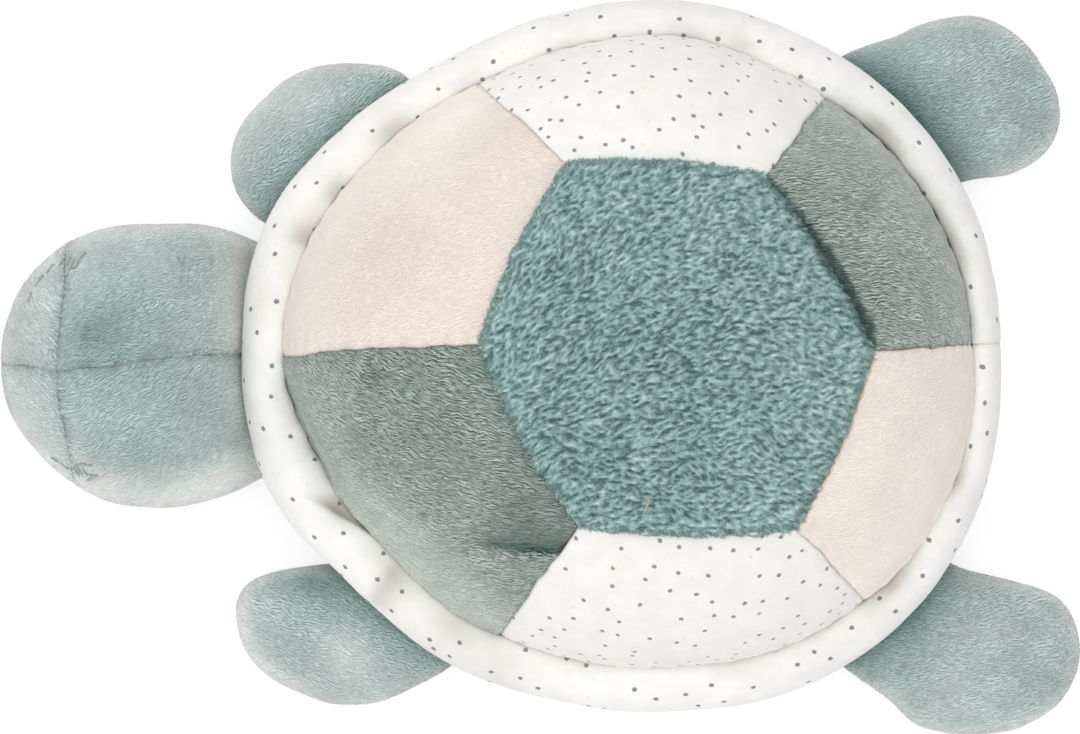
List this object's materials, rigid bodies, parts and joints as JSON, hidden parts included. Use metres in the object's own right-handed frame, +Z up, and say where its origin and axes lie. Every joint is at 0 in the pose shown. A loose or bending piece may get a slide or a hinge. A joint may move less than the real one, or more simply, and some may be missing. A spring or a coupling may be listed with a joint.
{
  "type": "plush turtle",
  "caption": "Soft stuffed toy turtle lying on its belly, with a patchwork shell, padded rim, closed-eye head and flippers that flap.",
  "frame": {"origin": "centre of the object's box, on the floor that it lies on", "axes": "+Z up; the head points to -X; the turtle's right side is at +Y"},
  "size_m": [0.2608, 0.1772, 0.0845],
  "materials": {
    "teal_fleece": "long-pile teal fleece with clumped tufts",
    "blush_minky": "short brushed blush minky",
    "sage_minky": "short brushed sage minky",
    "teal_minky": "short brushed pale teal minky",
    "dotted_cotton": "smooth off-white jersey with small scattered dots",
    "grey_thread": "grey embroidery thread",
    "white_stuffing": "white polyester fibre filling"
  },
  "bodies": {
    "shell": {"shell_top_panel": "teal_fleece", "shell_rear_right_panel": "sage_minky", "shell_right_panel": "dotted_cotton", "shell_front_right_panel": "blush_minky", "shell_front_left_panel": "sage_minky", "shell_left_panel": "dotted_cotton", "shell_rear_left_panel": "blush_minky", "shell_rim_band": "dotted_cotton", "belly_panel": "dotted_cotton", "shell_stuffing": "white_stuffing"},
    "head": {"head_snout_right_panel": "teal_minky", "head_snout_left_panel": "teal_minky", "head_back_right_panel": "teal_minky", "head_back_left_panel": "teal_minky", "head_chin_panel": "teal_minky", "head_stuffing": "white_stuffing", "eye_stitches_right": "grey_thread", "eye_stitches_left": "grey_thread"},
    "front_right_flipper": {"front_right_flipper_upper_panel": "teal_minky", "front_right_flipper_lower_panel": "teal_minky", "front_right_flipper_stuffing": "white_stuffing"},
    "rear_right_flipper": {"rear_right_flipper_upper_panel": "teal_minky", "rear_right_flipper_lower_panel": "teal_minky", "rear_right_flipper_stuffing": "white_stuffing"},
    "rear_left_flipper": {"rear_left_flipper_upper_panel": "teal_minky", "rear_left_flipper_lower_panel": "teal_minky", "rear_left_flipper_stuffing": "white_stuffing"},
    "front_left_flipper": {"front_left_flipper_upper_panel": "teal_minky", "front_left_flipper_lower_panel": "teal_minky", "front_left_flipper_stuffing": "white_stuffing"}
  },
  "joints": [
    {"name": "head_nod", "type": "hinge", "parent": "shell", "child": "head", "pos_m": [-0.06048, 0.00274, 0.0105], "axis": [0, 1, 0], "range_deg": [-25, 8], "stiffness_Nm_per_rad": 0.3},
    {"name": "front_right_flap", "type": "hinge", "parent": "shell", "child": "front_right_flipper", "pos_m": [-0.04103, 0.04667, 0.0092], "axis": [0.585, 0.8111, 0], "range_deg": [-40, 22], "stiffness_Nm_per_rad": 0.1},
    {"name": "rear_right_flap", "type": "hinge", "parent": "shell", "child": "rear_right_flipper", "pos_m": [0.07808, 0.05193, 0.0092], "axis": [0.6455, -0.7638, 0], "range_deg": [-40, 22], "stiffness_Nm_per_rad": 0.1},
    {"name": "rear_left_flap", "type": "hinge", "parent": "shell", "child": "rear_left_flipper", "pos_m": [0.07673, -0.0514, 0.0092], "axis": [-0.6896, -0.7242, 0], "range_deg": [-40, 22], "stiffness_Nm_per_rad": 0.1},
    {"name": "front_left_flap", "type": "hinge", "parent": "shell", "child": "front_left_flipper", "pos_m": [-0.02717, -0.04987, 0.0092], "axis": [-0.7455, 0.6665, 0], "range_deg": [-40, 22], "stiffness_Nm_per_rad": 0.1}
  ]
}
